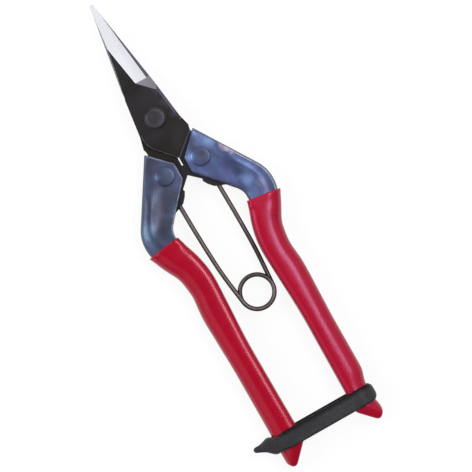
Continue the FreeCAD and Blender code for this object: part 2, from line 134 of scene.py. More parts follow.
# ---- settings
class ShearsSteelSettings(bpy.types.PropertyGroup):
    black_oxide: colour("Black oxide", "blackened blades", 28, 26, 22)
    # A faint tint in the patches and grain of the oxide and the rivet; on the bevelled edges and in spots beside
    # them it is painted sheen
    thin_oxide: colour("Oxide tint and sheen", "bevelled edges, where the oxide is thin", 84, 77, 94)
    polished: colour("Polished bevel", "polished bevels and meeting faces", 224, 223, 228)
    runout: colour("Run-out", "facet where the grinding ends", 138, 132, 140)
    # Painted shade: the strip is ground like the bevel and is given a darker tone
    edge_strip: colour("Edge strip", "steeper strip along the cutting edge", 96, 88, 102)
    # Worn edges, and a painted highlight along the front blade's heel
    rubbed: colour("Rubbed edge", "edges that are rubbed bright", 150, 142, 132)
    rivet_black: colour("Rivet black", "pivot rivet", 42, 40, 44)
    edge_ease: length("Blade edge", "Width of the eased edges of the blades", 0.1 * MM)
    blade_gap: length("Blade gap", "Clearance of the blades' meeting faces", 0.02 * MM)
    # The heel's rounded edge is partly wear and partly a painted highlight
    heel_ease: length("Heel edge", "Width of the rubbed edge round the front blade's heel", 0.32 * MM)
    head_ease: length("Rivet rounding", "Rounding of the rivet heads", 0.45 * MM)


class ShearsHandleSettings(bpy.types.PropertyGroup):
    right_deep: colour("Right handle, deep", "right handle where it is darker", 62, 70, 108)
    right_pale: colour("Right handle, pale", "right handle where it is paler", 78, 92, 134)
    left_deep: colour("Left handle, deep", "left handle where it is darker", 58, 62, 84)
    left_pale: colour("Left handle, pale", "left handle where it is paler", 68, 78, 108)
    # Bright blue and rose are painted highlights and grey is painted shade; brown and teal are tints and also
    # painted shade and painted reflection
    bright_blue: colour("Bright blue", "brightest patches of the blueing", 122, 150, 204)
    brown: colour("Temper brown", "brown patches in the blueing", 48, 44, 52)
    teal: colour("Temper teal", "teal patches in the blueing", 104, 140, 162)
    grey: colour("Temper grey", "grey patches in the blueing", 44, 47, 62)
    violet: colour("Temper violet", "violet patches in the blueing", 84, 80, 140)
    rose: colour("Temper rose", "rose patches in the blueing", 190, 168, 190)
    # Painted reflection: the handles take these paler blues where the sheet slopes over its fold
    right_fold: colour("Right fold", "right handle's round fold", 84, 98, 142)
    left_fold: colour("Left fold", "left handle's round fold", 76, 90, 116)
    # Painted shade on the steep sides where the sheet turns under
    fold_under_shade: colour("Fold, underneath", "sheet where its fold turns under", 34, 34, 44)
    # Painted highlight: the line along the handles' rims and on the right fold's crown
    bare_rim_highlight: colour("Bare rim", "sheet's rubbed edges", 204, 210, 238)
    sheet_grid: length("Sheet grid", "Size of the faces of the pressings", 0.33 * MM)
    rim_kept: length("Rim", "Width along the sheet's edges that keeps its form", 0.5 * MM)
    # The line along the rims is a painted highlight, strongest where they face the key light
    rim_line_width: length("Rim wear", "Width of the rubbed line along the sheet's edges", 0.45 * MM)
    # The dark lines in the creases and inside the right knee are painted shade
    crease_width: length("Crease", "Width of the dark line in the creases", 0.5 * MM)
    crease_reach: length("Crease reach", "Width beside a crease that is softened with it", 1.6 * MM)
    crease_rounds: count("Crease softening", "Rounds of smoothing of the creases", 200)
    knee_shade: length("Knee shade", "Width of the dark line inside the right handle's knee", 1.2 * MM)
    boss_ease: length("Boss rounding", "Rounding of the heads of the tang rivets", 1.3 * MM)


class ShearsSpringSettings(bpy.types.PropertyGroup):
    wire: colour("Wire", "oiled spring wire", 90, 78, 76)
    # Painted shade on the wire's flanks and on its right leg above the coil
    wire_shade: colour("Wire shade", "wire's flanks", 34, 29, 28)
    # Reach of the painted shade on the right leg
    leg_shade_reach: length("Oiled reach", "Reach of the darkest oil, on the right leg above the coil", 17 * MM)
    wire_width: length("Wire width", "Diameter of the wire", 1.75 * MM)
    coil_radius: length("Coil radius", "Mean radius of the coil", 6.55 * MM)
    coil_side: length("Coil side", "Centre of the coil across the shears, from the pivot", 1.07 * MM)
    coil_along: length("Coil place", "Centre of the coil along the shears, from the pivot", -76 * MM)
    coil_pitch: length("Coil pitch", "Fall of the coil in each full turn", 1.92 * MM)
    leave_left: angle("Left slant", "Slant of the left leg where it leaves the coil", 8)
    leave_right: angle("Right slant", "Slant of the right leg where it leaves the coil", 4)
    sides: count("Wire sides", "Points round the wire", 20, 8)
    steps: count("Coil steps", "Steps in each full turn of the coil", 72, 16)


class ShearsSoftSettings(bpy.types.PropertyGroup):
    right_crimson: colour("Right crimson", "right grip", 168, 5, 37)
    left_crimson: colour("Left crimson", "left grip", 160, 5, 33)
    # Also painted shade down the grips' flanks
    deep_crimson_and_shade: colour("Deep crimson", "grips where the dip is thick", 146, 4, 32)
    rubber: colour("Rubber", "strap", 42, 40, 43)
    rubber_dust: colour("Rubber dust", "strap where dust lies on it", 92, 90, 98)
    # The mark is the painted shade of a small dent
    mark: colour("Mark", "mark on the right grip", 112, 4, 26)
    mark_reach: length("Mark reach", "Radius of the mark on the right grip", 3.4 * MM)
    mark_depth: share("Mark depth", "How dark the mark on the right grip is", 1.0)
    # Painted shade along the strap's edges
    strap_edge_shade: colour("Strap edge", "strap along its edges", 8, 7, 8)
    right_sheen: tint("Right sheen", "light on the right grip", (0.72, 0.46, 0.8, 1.0))
    left_sheen: tint("Left sheen", "light on the left grip", (1.0, 0.5, 0.66, 1.0))
    right_shine: share("Right shine", "Strength of the light on the right grip", 0.45)
    left_shine: share("Left shine", "Strength of the light on the left grip", 0.44)
    right_gloss: share("Right gloss", "Roughness of the right grip", 0.24)
    left_gloss: share("Left gloss", "Roughness of the left grip", 0.19)
    grip_grid: length("Grip grid", "Size of the faces of the grips", 0.32 * MM)
    strap_grid: length("Strap grid", "Size of the faces of the strap", 0.3 * MM)
    right_rounds: count("Right softening", "Rounds of smoothing of the right grip", 68)
    left_rounds: count("Left softening", "Rounds of smoothing of the left grip", 36)
    tail_rounds: count("Tail softening", "Rounds of smoothing of the grips below their rims", 20)
    tab_root: length("Tab root", "Where the tab has grown into the loop, from its tip", 8.6 * MM)
    left_reach: FloatVectorProperty(name="Left reach", description="How much further up the left grip begins",
                                    subtype="TRANSLATION", default=(-0.00017, 0.00098, 0))
    edge_width: length("Strap edge width", "Width of the darker line along the strap's edges", 2.2 * MM)
    grip_swell: length("Grip swell", "What the smoothing takes off the grips and is added again", 0.2 * MM)


class ShearsStageSettings(bpy.types.PropertyGroup):
    view_side: length("View side", "Camera's place across the shears, from the pivot", 4.54 * MM)
    view_along: length("View along", "Camera's place along the shears, from the pivot", -53.7 * MM)
    view_height: length("View height", "Camera's height above the pivot", 1.15)
    view_width: length("View width", "Width of the picture at the height of the pivot", 178.8 * MM)
    view_roll: angle("View roll", "Turn of the blades to the left of upright", 29.65)
    floor: colour("Floor", "floor", 253, 253, 253)
    floor_glow: share("Floor glow", "Share of plain white in the floor", 0.9)
    tent: share("Tent", "Strength of the white tent round the shears", 1.05)
    tent_tint: tint("Tent tint", "white tent", (0.96, 0.98, 1.0, 1.0))
    key_power: power("Key light", "Power of the soft light above", 4.1)
    fill_power: power("Fill light", "Power of the soft light on the left", 3.0)


# ---- nodes
def add(tree, kind, inputs=None, **settings):
    """A new shader node with its settings; an input takes a value, or a link from a socket."""
    node = tree.nodes.new("ShaderNode" + kind)
    for name, value in settings.items():
        setattr(node, name, value)
    for name, value in (inputs or {}).items():
        if isinstance(value, bpy.types.NodeSocket):
            tree.links.new(value, node.inputs[name])
        else:
            node.inputs[name].default_value = value
    return node


def math_node(tree, operation, first, second=0.0, clamp=False):
    return add(tree, "Math", {0: first, 1: second}, operation=operation, use_clamp=clamp).outputs[0]


def times(tree, first, second, clamp=False):
    return math_node(tree, "MULTIPLY", first, second, clamp)


def mixed(tree, factor, first, second):
    """The first colour turning into the second."""
    return add(tree, "Mix", {"Factor": factor, 6: first, 7: second}, data_type="RGBA").outputs[2]


def ramp(tree, value, low, high, to_low=0.0, to_high=1.0):
    """A value moved smoothly from one range to another."""
    node = add(tree, "MapRange", {0: value, 1: low, 2: high, 3: to_low, 4: to_high},
               interpolation_type="SMOOTHSTEP")
    return node.outputs[0]


def noise(tree, vector, scale, detail=2.0):
    node = add(tree, "TexNoise", {"Vector": vector, "Scale": scale, "Detail": detail})
    return node.outputs["Fac"]


def stretched(tree, vector, x, y, z, turn=0.0):
    """Coordinates turned about Z and drawn out, for marks that run one way."""
    node = add(tree, "Mapping", {"Vector": vector, "Rotation": (0, 0, turn), "Scale": (x, y, z)})
    return node.outputs["Vector"]


def new_group(name, inputs, outputs=("Mask",)):
    """An empty node group and its sockets on the inside. An input with no default is a vector."""
    tree = bpy.data.node_groups.new(name, "ShaderNodeTree")
    for socket, default in inputs.items():
        kind = "NodeSocketVector" if default is None else "NodeSocketFloat"
        item = tree.interface.new_socket(socket, in_out="INPUT", socket_type=kind)
        if default is not None:
            item.default_value = default
    for socket in outputs:
        kind = "NodeSocketVector" if socket == "Normal" else "NodeSocketFloat"
        tree.interface.new_socket(socket, in_out="OUTPUT", socket_type=kind)
    return tree, tree.nodes.new("NodeGroupInput").outputs, tree.nodes.new("NodeGroupOutput").inputs


def textured(tree, given, made, height, distance, mask):
    """Gives a group its mask, and the bump of a height."""
    bump = add(tree, "Bump", {"Height": height, "Strength": given["Depth"], "Distance": distance})
    tree.links.new(mask, made["Mask"])
    tree.links.new(bump.outputs["Normal"], made["Normal"])


def fine_grain_group():
    """Speckle and its bump, such as blasted, cast or moulded surfaces have."""
    tree, given, made = new_group(
        "Fine grain", {"Vector": None, "Scale": 4000.0, "Depth": 0.1}, ("Mask", "Normal"))
    speckle = noise(tree, given["Vector"], given["Scale"], 3.0)
    broad = noise(tree, given["Vector"], times(tree, given["Scale"], 0.12), 2.0)
    height = math_node(tree, "ADD", speckle, broad)
    textured(tree, given, made, height, 0.05 * MM, ramp(tree, speckle, 0.35, 0.65))


def grind_lines_group():
    """Fine parallel scratches along the given coordinates' Y axis, with their bump."""
    tree, given, made = new_group(
        "Grind lines", {"Vector": None, "Scale": 9000.0, "Depth": 0.1}, ("Mask", "Normal"))
    drawn = stretched(tree, given["Vector"], 1.0, 0.02, 1.0)
    lines = noise(tree, drawn, given["Scale"], 3.0)
    textured(tree, given, made, lines, 0.03 * MM, ramp(tree, lines, 0.3, 0.7))


def worn_edge_group():
    """Wear along the eased edges, broken up unevenly; the pieces' edge value says where they are, and on the
    handles it holds a painted highlight.
    """
    tree, given, made = new_group("Worn edge", {"Vector": None, "Amount": 0.5})
    edge = add(tree, "Attribute", attribute_name="edge").outputs["Fac"]
    uneven = ramp(tree, noise(tree, given["Vector"], 420.0, 4.0), 0.3, 0.7, 0.35, 1.0)
    worn = times(tree, times(tree, edge, uneven), given["Amount"], True)
    tree.links.new(worn, made["Mask"])


def soft_patches_group():
    """Broad, soft patches, as where heat or handling has tinted a surface."""
    tree, given, made = new_group("Soft patches", {"Vector": None, "Scale": 60.0, "Low": 0.36, "High": 0.64})
    patches = noise(tree, given["Vector"], given["Scale"], 1.5)
    tree.links.new(ramp(tree, patches, given["Low"], given["High"]), made["Mask"])


def tint_spot_group():
    """A soft spot with an uneven outline round a place, whatever its height."""
    tree, given, made = new_group("Tint spot", {"Vector": None, "Centre": None, "Radius": 0.003})
    apart = add(tree, "VectorMath", {0: given["Vector"], 1: given["Centre"]}, operation="SUBTRACT")
    level = add(tree, "VectorMath", {0: apart.outputs[0], 1: (1, 1, 0)}, operation="MULTIPLY")
    away = add(tree, "VectorMath", {0: level.outputs[0]}, operation="LENGTH").outputs["Value"]
    uneven = ramp(tree, noise(tree, given["Vector"], 330.0, 2.0), 0.3, 0.7, 0.8, 1.25)
    away = math_node(tree, "DIVIDE", times(tree, away, uneven), given["Radius"])
    tree.links.new(ramp(tree, away, 0.0, 1.0, 1.0, 0.0), made["Mask"])


def flanks_group():
    """The flanks of a piece: none on its level faces, full where the surface has turned far from level."""
    tree, given, made = new_group("Flanks", {"Start": 30.0, "End": 75.0})
    facing = add(tree, "TexCoord").outputs["Normal"]
    level = add(tree, "SeparateXYZ", {"Vector": facing}).outputs["Z"]
    level = math_node(tree, "MINIMUM", math_node(tree, "ABSOLUTE", level), 1.0)
    slope = math_node(tree, "DEGREES", math_node(tree, "ARCCOSINE", level))
    tree.links.new(ramp(tree, slope, given["Start"], given["End"]), made["Mask"])


def grouped(tree, name, where=None, **inputs):
    """The outputs of a shared group, placed in a material at its coordinates."""
    if where is not None:
        inputs["Vector"] = where
    return add(tree, "Group", inputs, node_tree=bpy.data.node_groups[name]).outputs


def patchy(tree, where, scale):
    return grouped(tree, "Soft patches", where, Scale=scale)["Mask"]


def grained(tree, where, scale, depth):
    return grouped(tree, "Fine grain", where, Scale=scale, Depth=depth)


def spot(tree, where, place, radius):
    """A soft spot of a radius in metres round a place, given as X and Y in mm from the pivot."""
    centre = pivot + Vector((*place, 0)) * MM
    return grouped(tree, "Tint spot", where, Centre=centre, Radius=radius)["Mask"]


def tinted(tree, where, base, spots, settings):
    """A base colour with soft spots, each a place and a radius in mm, an amount, and the name of its tint."""
    for across, along, radius, amount, tint in spots:
        mask = spot(tree, where, (across, along), radius * MM)
        base = mixed(tree, times(tree, mask, amount), base, getattr(settings, tint))
    return base


# ---- materials
def new_material(name, **shader):
    """A material with its tree and the object's coordinates."""
    material = bpy.data.materials.new(name)
    material.use_nodes = True
    tree = material.node_tree
    principled = tree.nodes["Principled BSDF"]
    for socket, value in shader.items():
        principled.inputs[socket.replace("_", " ")].default_value = value
    where = add(tree, "TexCoord").outputs["Object"]
    return material, tree, where


def surfaced(material, base, texture, smooth, rough):
    """Gives a material its base colour, and the roughness and bump of a texture."""
    tree = material.node_tree
    roughness = ramp(tree, texture["Mask"], 0.0, 1.0, smooth, rough)
    for socket, value in (("Base Color", base), ("Roughness", roughness), ("Normal", texture["Normal"])):
        tree.links.new(value, tree.nodes["Principled BSDF"].inputs[socket])
    return material


def oxide_material(name, tone, spots, steel):
    """Blackened steel with a faint grain, tinted in patches, and rubbed bright along its edges."""
    material, tree, where = new_material(name, Metallic=0.05, Specular_IOR_Level=0.1)
    grain = grained(tree, where, 3600.0, 0.1)
    patches = patchy(tree, where, 90.0)
    worn = grouped(tree, "Worn edge", where, Amount=0.9)["Mask"]
    tint = times(tree, patches, 0.1)
    base = mixed(tree, tint, tone, steel.thin_oxide)
    base = mixed(tree, times(tree, grain["Mask"], 0.05), base, steel.thin_oxide)
    # Spots from the caller: on the blades, painted sheen
    base = tinted(tree, where, base, spots, steel)
    base = mixed(tree, worn, base, steel.rubbed)
    return surfaced(material, base, grain, 0.38, 0.48)


def ground_material(name, tone, roughness, turn):
    """Steel from the grinding wheel, with faint lines that lie at an angle to the shears."""
    material, tree, where = new_material(name, Metallic=0.9)
    turned = stretched(tree, where, 1, 1, 1, math.radians(turn))
    lines = grouped(tree, "Grind lines", turned, Scale=4200.0, Depth=0.08)
    patches = patchy(tree, where, 60.0)
    shade = math_node(tree, "ADD", times(tree, lines["Mask"], 0.1), times(tree, patches, 0.1))
    darker = [level * 0.55 for level in tone[:3]] + [1.0]
    base = mixed(tree, shade, tone, darker)
    return surfaced(material, base, lines, roughness, roughness + 0.1)


def rivet_material(name, steel):
    """Dark burnished steel of the pivot."""
    material, tree, where = new_material(name, Metallic=0.4, Specular_IOR_Level=0.3)
    grain = grained(tree, where, 2600.0, 0.1)
    worn = grouped(tree, "Worn edge", where, Amount=0.22)["Mask"]
    patches = patchy(tree, where, 260.0)
    base = mixed(tree, times(tree, patches, 0.25), steel.rivet_black, steel.thin_oxide)
    base = mixed(tree, worn, base, steel.rubbed)
    return surfaced(material, base, grain, 0.34, 0.44)


def blued_material(name, deep, pale, fold, spots, handles):
    """Heat-blued sheet: patchy blue with tinted spots, and painted light and shade: a painted reflection makes it
    paler on its fold, painted shade darkens its creases, its right knee and where it turns under, and painted
    highlights brighten its rims and some spots.
    """
    material, tree, where = new_material(name, Metallic=0.6, Specular_IOR_Level=0.5)
    drawn = stretched(tree, where, 1.0, 0.6, 1.0, math.radians(20))
    patches = grouped(tree, "Soft patches", drawn, Scale=190.0, Low=0.34, High=0.66)["Mask"]
    grain = grained(tree, where, 2400.0, 0.08)
    worn = grouped(tree, "Worn edge", where, Amount=0.9)["Mask"]
    turned = grouped(tree, "Flanks", Start=16.0, End=42.0)["Mask"]
    under = grouped(tree, "Flanks", Start=58.0, End=72.0)["Mask"]
    crease = add(tree, "Attribute", attribute_name="crease").outputs["Fac"]
    base = mixed(tree, patches, deep, pale)
    # Painted reflection: paler where the sheet slopes over its fold
    base = mixed(tree, times(tree, turned, 0.6), base, fold)
    base = tinted(tree, where, base, spots, handles)
    # Painted shade in the creases and inside the right knee
    base = mixed(tree, times(tree, crease, 0.7), base, handles.brown)
    # Painted shade on the steep sides
    base = mixed(tree, under, base, handles.fold_under_shade)
    # Painted highlight along the rims and the right fold's crown
    base = mixed(tree, worn, base, handles.bare_rim_highlight)
    return surfaced(material, base, grain, 0.32, 0.42)


# Spots on the blueing: place and radius in mm, amount, tint. The violet spot and some brown and teal are tints of
# the blueing; the rose and bright blue spots are painted highlights on the fold, the knees and the bosses' slopes;
# the other brown spots and the grey ones are painted shade round the bosses and over the right corner, the knees
# and the left handle; the left teal spot is a painted reflection on its outer fold
blued_spots = {
    "right": [(9.4, -20.0, 4.6, 0.85, "brown"), (7.9, -13.4, 3.4, 0.6, "brown"),
              (6.8, -16.6, 2.2, 0.5, "brown"), (9.4, -23.4, 2.4, 0.5, "brown"),
              (4.0, -19.1, 2.2, 0.7, "bright_blue"), (12.2, -17.6, 4.4, 0.25, "bright_blue"),
              (16.7, -21.1, 1.9, 0.6, "rose"), (17.9, -22.9, 2.0, 0.9, "rose"),
              (19.1, -25.0, 1.9, 0.5, "rose"), (13.7, -30.6, 5.0, 0.5, "violet"),
              (18.7, -36.9, 4.0, 0.6, "bright_blue"), (22.4, -40.2, 2.4, 0.18, "rose"),
              (23.6, -43.2, 4.2, 0.4, "brown"), (22.2, -33.4, 3.4, 0.12, "bright_blue"),
              (14.2, -16.6, 3.4, 0.35, "teal")],
    "left": [(-13.2, -28.4, 8.0, 0.95, "grey"), (-18.8, -37.6, 8.0, 0.95, "grey"),
             (-15.6, -31.4, 3.2, 0.45, "brown"), (-17.6, -35.0, 2.6, 0.35, "brown"),
             (-7.5, -14.4, 2.4, 0.3, "brown"), (-24.4, -35.6, 5.4, 0.4, "teal"),
             (-10.6, -19.8, 2.0, 0.3, "bright_blue")],
}
# The same kind of spots on the black of the blades, and on their bevelled edges: painted sheen, violet where it
# spreads from the bevelled edges onto the black, and black where it fades out at their lower end
blade_sheen_spots = [(5.9, 9.0, 3.4, 0.3, "thin_oxide"), (7.0, 3.6, 3.6, 0.4, "thin_oxide"),
              (8.0, -1.4, 3.4, 0.35, "thin_oxide")]
sheen_fade_spots = [(9.0, -4.6, 4.6, 1.0, "black_oxide")]
mark_upper, mark_lower = (19.2, -55.3), (18.9, -55.9)   # the grip's mark, painted shade of a small dent, lies between two circles
mark_level, mark_soft, mark_gain = 0.4, 0.16, 5         # where in them, how soft, how crisp its ends
leg_shade_place, oiled = (8.6, -62), 0.95                   # painted shade on the right leg above the coil, and how dark


def of_side(settings, side, *parts):
    """The settings of one side of the shears."""
    return [getattr(settings, side + "_" + part) for part in parts]


def blued(side, handles):
    """The blueing of one handle and of its rivet."""
    tones = of_side(handles, side, "deep", "pale", "fold")
    return material("Blued steel " + side, blued_material, *tones, blued_spots[side], handles)


def vinyl_material(name, soft, tone, sheen, level, roughness, marked):
    """Glossy dipped vinyl with a faint flow in its skin, thicker dip in patches, painted shade down its flanks,
    and a small crescent below the right rim that is the painted shade of a small dent.
    """
    material, tree, where = new_material(name, Specular_IOR_Level=level, Specular_Tint=sheen)
    patches = patchy(tree, where, 45.0)
    skin = grained(tree, where, 300.0, 0.03)
    flanks = grouped(tree, "Flanks", Start=35.0, End=85.0)["Mask"]
    # Thicker dip in patches, and painted shade down the flanks
    thick_dip_and_shade = math_node(tree, "ADD", times(tree, patches, 0.3), times(tree, flanks, 0.65), True)
    base = mixed(tree, thick_dip_and_shade, tone, soft.deep_crimson_and_shade)
    # Painted shade of a small dent: a dark crescent between two circles
    above, below = [spot(tree, where, place, soft.mark_reach) for place in (mark_upper, mark_lower)]
    upper = times(tree, math_node(tree, "SUBTRACT", above, below, True), marked * mark_gain, True)
    ring = math_node(tree, "ABSOLUTE", math_node(tree, "SUBTRACT", above, mark_level))
    crescent = times(tree, ramp(tree, ring, 0.0, mark_soft, 1.0, 0.0), upper)
    base = mixed(tree, crescent, base, soft.mark)
    return surfaced(material, base, skin, roughness, roughness + 0.03)


def wire_material(name, wire):
    """Oiled spring wire with drawing marks along it, with painted shade down its flanks and on its right leg above
    the coil.
    """
    material, tree, where = new_material(name, Metallic=0.4)
    grain = grained(tree, where, 3200.0, 0.12)
    patches = patchy(tree, where, 130.0)
    flanks = grouped(tree, "Flanks", Start=14.0, End=52.0)["Mask"]
    # Painted shade down the flanks
    shade = math_node(tree, "ADD", flanks, times(tree, patches, 0.2), True)
    leg_shade = spot(tree, where, leg_shade_place, wire.leg_shade_reach)
    base = mixed(tree, shade, wire.wire, wire.wire_shade)
    # Painted shade on the right leg above the coil
    base = mixed(tree, times(tree, leg_shade, oiled), base, wire.wire_shade)
    return surfaced(material, base, grain, 0.30, 0.42)


def rubber_material(name, soft):
    """Satin moulded rubber with a little dust, and painted shade along its edges."""
    material, tree, where = new_material(name, Specular_IOR_Level=0.16)
    grain = grained(tree, where, 1800.0, 0.1)
    patches = patchy(tree, where, 110.0)
    edge = add(tree, "Attribute", attribute_name="edge").outputs["Fac"]
    dust = times(tree, times(tree, patches, grain["Mask"]), 0.2)
    base = mixed(tree, dust, soft.rubber, soft.rubber_dust)
    # Painted shade along the edges
    base = mixed(tree, edge, base, soft.strap_edge_shade)
    return surfaced(material, base, grain, 0.42, 0.52)


# ---- mesh helpers
def placed(name, data):
    """A new object of the scene."""
    item = bpy.data.objects.new(name, data)
    bpy.context.scene.collection.objects.link(item)
    return item


def copy_of(node):
    """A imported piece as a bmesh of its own: loose triangles merged, flat faces joined up."""
    bm = bmesh.new()
    bm.from_mesh(frame["nodes"][node].data)
    bmesh.ops.remove_doubles(bm, verts=bm.verts, dist=HAIR)
    bmesh.ops.dissolve_limit(bm, angle_limit=math.radians(0.4), verts=bm.verts, edges=bm.edges)
    return bm


def rounded(bm, edges, width, segments):
    """Rounds edges, and gives the faces that this makes."""
    made = bmesh.ops.bevel(bm, geom=edges, offset=width, offset_type="OFFSET", segments=segments, profile=0.5,
                           affect="EDGES", clamp_overlap=True, material=-1)
    return set(made["faces"])


def eased(bm, width, sharper_than, segments=2, worn=1.0):
    """Rounds every edge that is sharper than an angle, and gives the crown of each rounding an edge value."""
    edge = bm.verts.layers.float.new("edge")
    limit = math.radians(sharper_than)
    sharp = [e for e in bm.edges if e.is_manifold and e.calc_face_angle() > limit]
    made = rounded(bm, sharp, width, segments)
    for vert in bm.verts:
        vert[edge] = worn * all(face in made for face in vert.link_faces)
    return edge


def mesh_of(bm, name):
    mesh = bpy.data.meshes.new(name)
    bm.to_mesh(mesh)
    bm.free()
    return mesh


def regridded(bm, size):
    """The same form in even faces of one size."""
    mesh = mesh_of(bm, "form")
    form = placed("form", mesh)
    grid = form.modifiers.new("grid", "REMESH")
    grid.mode = "VOXEL"
    grid.voxel_size = size
    even = bmesh.new()
    even.from_object(form, bpy.context.evaluated_depsgraph_get())
    bpy.data.objects.remove(form)
    bpy.data.meshes.remove(mesh)
    return even


def smoothed(bm, verts, rounds):
    """Draws each of these points halfway to the middle of its neighbours, as often as asked."""
    for _ in range(rounds):
        bmesh.ops.smooth_vert(bm, verts=verts, factor=0.5, use_axis_x=True, use_axis_y=True, use_axis_z=True)


def finished(bm, node, materials, sharper_than):
    """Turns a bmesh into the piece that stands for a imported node, smooth but for its sharper edges."""
    for face in bm.faces:
        face.smooth = True
    mesh = mesh_of(bm, node + "_finish")
    mesh.set_sharp_from_angle(angle=math.radians(sharper_than))
    for material in materials:
        mesh.materials.append(material)
    piece = placed(node + "_finish", mesh)
    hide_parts(node)
    return piece


def body_of(node):
    """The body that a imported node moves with."""
    return next(name for name, nodes in frame["record"]["behaviour"]["bodies"].items() if node in nodes)


def from_pivot(item):
    """The middle of an edge, from the pivot."""
    return (item.verts[0].co + item.verts[1].co) / 2 - pivot


def material(name, make, *values):
    """A material by name, made on its first use."""
    return bpy.data.materials.get(name) or make(name, *values)


# ---- blades
polished_from = 12 * MM       # the meeting faces are polished beyond this, along the shears from the pivot
worn_below = -3.5 * MM        # edges are worn fully below this, and less above it
edge_wear = 0.4
flat, low_slope = 0.9995, 0.3         # least height of the normals of level and of ground faces
outer_face, wall = 0.999, 0.001       # and of the outer face at the heel, and the most of its walls
meeting = 0.01 * MM                   # the meeting faces lie this close to the pivot's height
runout_slope, sheen_slope, strip_slope = 0.3, 0.8, 0.5
heel_top, heel_side, heel_height = -4 * MM, 0.4 * MM, 2 * MM
# Points that move: from and to, outwards and along in mm, and how far
shoulder, shoulder_move = ((8.9, 9.0), (-10.6, -9.4)), 0.45 * MM
tang, tang_move = ((0.35, 0.5), (-21, -16.5)), 0.37 * MM


def blade_surface(face, side):
    """Which surface of a blade a face is part of. The rear blade is the front one turned over, side -1."""
    normal = Vector((face.normal.x * side, face.normal.y, face.normal.z * side))
    centre = face.calc_center_median() - pivot
    if normal.z < -flat and abs(centre.z) < meeting:
        return "polished" if centre.y > polished_from else "black"
    if not low_slope < normal.z < flat:
        return "black"
    across, along = normal.x / normal.z, normal.y / normal.z
    if along > runout_slope:
        return "runout"
    if across > sheen_slope or along < -runout_slope:
        return "sheen"
    return "strip" if across > strip_slope else "polished"


def is_heel(edge):
    """Whether an edge of the front blade runs round its heel, on the outer face."""
    place, faces = from_pivot(edge), edge.link_faces
    return (any(face.normal.z > outer_face for face in faces)
            and any(abs(face.normal.z) < wall for face in faces)
            and place.y < heel_top and place.x < heel_side and place.z > heel_height)


def within(box, place):
    return all(low < value < high for (low, high), value in zip(box, place))


def fitted_closer(bm, side):
    """Brings the shoulder close to the plates, and the rear tang's inner edge close to the centre line."""
    for vert in bm.verts:
        place = (vert.co.x - pivot.x) / MM * side, (vert.co.y - pivot.y) / MM
        if within(shoulder, place):
            vert.co.x += shoulder_move * side
        if side == -1 and within(tang, place):
            vert.co.x += tang_move


def make_blade(context, node):
    """Copy of a blade with its edges eased, black but for what the wheel has ground."""
    steel = context.scene.shears_steel
    side = 1 if node == "front_blade" else -1
    surfaces = {
        # Painted sheen: the bevelled edges take a lighter violet tone, and violet spots spread it onto the black
        "black": material("Black oxide", oxide_material, steel.black_oxide, blade_sheen_spots, steel),
        "sheen": material("Oxide tint and sheen", oxide_material, steel.thin_oxide, sheen_fade_spots, steel),
        "polished": material("Polished steel", ground_material, steel.polished, 0.26, 80),
        "runout": material("Wheel run-out", ground_material, steel.runout, 0.36, 50),
        # The edge strip's darker tone is painted shade
        "strip": material("Edge strip", ground_material, steel.edge_strip, 0.34, 10),
        "rubbed": material("Rubbed oxide and highlight", oxide_material, steel.rubbed, [], steel),
    }
    bm = copy_of(node)
    fitted_closer(bm, side)
    bmesh.ops.bisect_plane(bm, geom=bm.verts[:] + bm.edges[:] + bm.faces[:], dist=HAIR,
                           plane_co=pivot + Vector((0, polished_from, 0)), plane_no=(0, 1, 0))
    names = list(surfaces)
    for face in bm.faces:
        face.material_index = names.index(blade_surface(face, side))
    if side == 1:
        # The heel's rounded edge takes the rubbed colour: partly wear, partly a painted highlight along the lit
        # heel
        for face in rounded(bm, [edge for edge in bm.edges if is_heel(edge)], steel.heel_ease, 2):
            face.material_index = names.index("rubbed")
    edge = eased(bm, steel.edge_ease, 20)
    for vert in bm.verts:
        vert[edge] *= 1.0 if vert.co.y < pivot.y + worn_below else edge_wear
        if abs(vert.co.z - pivot.z) < HAIR:
            vert.co.z += side * steel.blade_gap / 2
    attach(finished(bm, node, surfaces.values(), 16), body_of(node))


# ---- handles
# Angles and slopes are in degrees; the tops are along the shears, from the pivot
rim_angle, crease_angles = 50, (6, 60)
crease_top, knee_top = -22 * MM, -25 * MM
rim_wall, crease_side, knee_side = 0.2, 0.5, -0.3     # normals beside a rim, a crease and the knee
search_step = 0.2 * MM
broad_face, crease_face = 0.72, 0.4       # height of the normals that are softened, and beside a crease
crown_slope, crown_half = 53, 9           # the line of light on the right handle's fold
knee_dark, left_dark = 1.6, 0.6           # how dark the painted shade lines in the knee and in the left crease are
highlight_turn, highlight_level, highlight_least = 3, 0.25, 0.1      # the painted highlight grows as a surface turns towards +X, where the key light is
sheet_rounds = 2


def places_along(edges):
    """A search tree of places along edges."""
    places = []
    for edge in edges:
        parts = math.ceil(edge.calc_length() / search_step)
        places += [edge.verts[0].co.lerp(edge.verts[1].co, part / parts) for part in range(parts + 1)]
    tree = kdtree.KDTree(len(places))
    for index, place in enumerate(places):
        tree.insert(place, index)
    tree.balance()
    return tree


def is_rim(edge):
    """Whether an edge of a pressing is an edge of its sheet."""
    return (edge.is_manifold and edge.calc_face_angle() > math.radians(rim_angle)
            and min(abs(face.normal.z) for face in edge.link_faces) < rim_wall)


def is_crease(edge):
    """Whether an edge of a pressing runs down a hollow crease."""
    run, height = edge.verts[0].co - edge.verts[1].co, from_pivot(edge).z
    low, high = [math.radians(angle) for angle in crease_angles]
    return (edge.is_manifold and low < -edge.calc_face_angle_signed() < high
            and from_pivot(edge).y < crease_top and abs(run.x) < 2 * abs(run.y)
            and all(face.normal.z * math.copysign(1, height) > crease_side for face in edge.link_faces))


